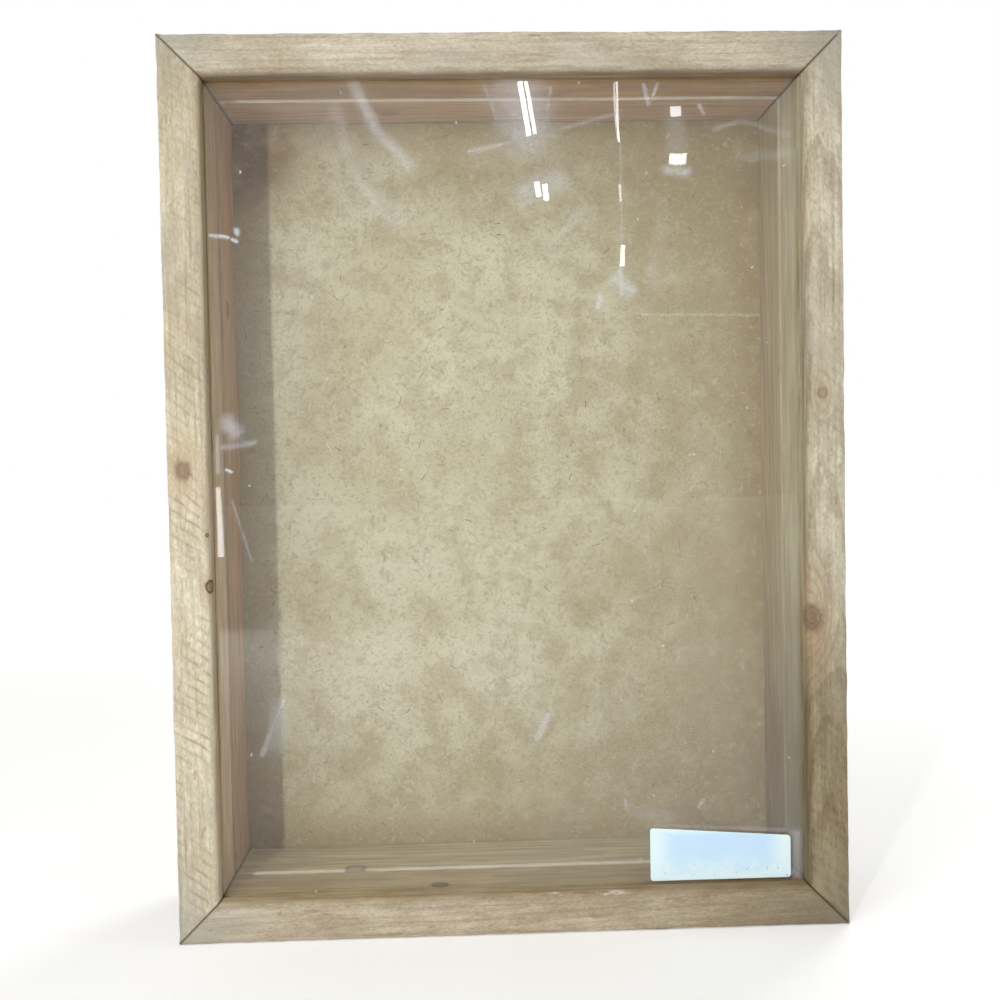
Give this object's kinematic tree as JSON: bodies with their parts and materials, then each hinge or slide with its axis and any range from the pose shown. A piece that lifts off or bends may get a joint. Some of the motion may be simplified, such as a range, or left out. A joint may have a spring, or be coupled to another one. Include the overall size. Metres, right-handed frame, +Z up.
{
  "type": "glazed display case",
  "caption": "Shallow wooden display case with a mitred case frame, fibreboard back and a hinged glazed door frame with a hook latch.",
  "frame": {"origin": "middle of the underside of the case frame, on the surface that the case stands on", "axes": "+Z up, the glazed front faces -Y, +X to the right for someone looking at the front"},
  "size_m": [0.314, 0.086, 0.405],
  "materials": {
    "case_wood": "raw",
    "door_wood": "raw",
    "fibreboard": "raw",
    "clear_sheet": "clear",
    "label_paper": "matt",
    "brass": "aged",
    "steel": "dull"
  },
  "bodies": {
    "case": {"case_rail_bottom": "case_wood", "case_rail_top": "case_wood", "case_stile_left": "case_wood", "case_stile_right": "case_wood", "back_panel": "fibreboard", "back_panel_nails": "steel", "case_corner_nails": "steel", "hinge_leaf_case_upper": "brass", "hinge_leaf_case_lower": "brass", "hinge_pin_upper": "brass", "hinge_pin_lower": "brass", "hinge_screws_case": "brass", "latch_stud": "brass", "latch_stud_screws": "brass", "sawtooth_hanger": "steel", "hanger_nails": "steel"},
    "door": {"door_rail_bottom": "door_wood", "door_rail_top": "door_wood", "door_stile_left": "door_wood", "door_stile_right": "door_wood", "glazing_panel": "clear_sheet", "label_sticker": "label_paper", "door_corner_nails": "steel", "hinge_leaf_door_upper": "brass", "hinge_leaf_door_lower": "brass", "hinge_screws_door": "brass", "latch_plate": "brass", "latch_plate_screws": "brass", "latch_rivet": "brass"},
    "hook": {"latch_hook": "brass"}
  },
  "joints": [
    {"name": "door_hinge", "type": "hinge", "parent": "case", "child": "door", "pos_m": [-0.1553, -0.0193, 0.2025], "axis": [0, 0, -1], "range_deg": [0, 175]},
    {"name": "latch_pivot", "type": "hinge", "parent": "door", "child": "hook", "pos_m": [0.1543, -0.03905, 0.2025], "axis": [-1, 0, 0], "range_deg": [0, 270]}
  ]
}
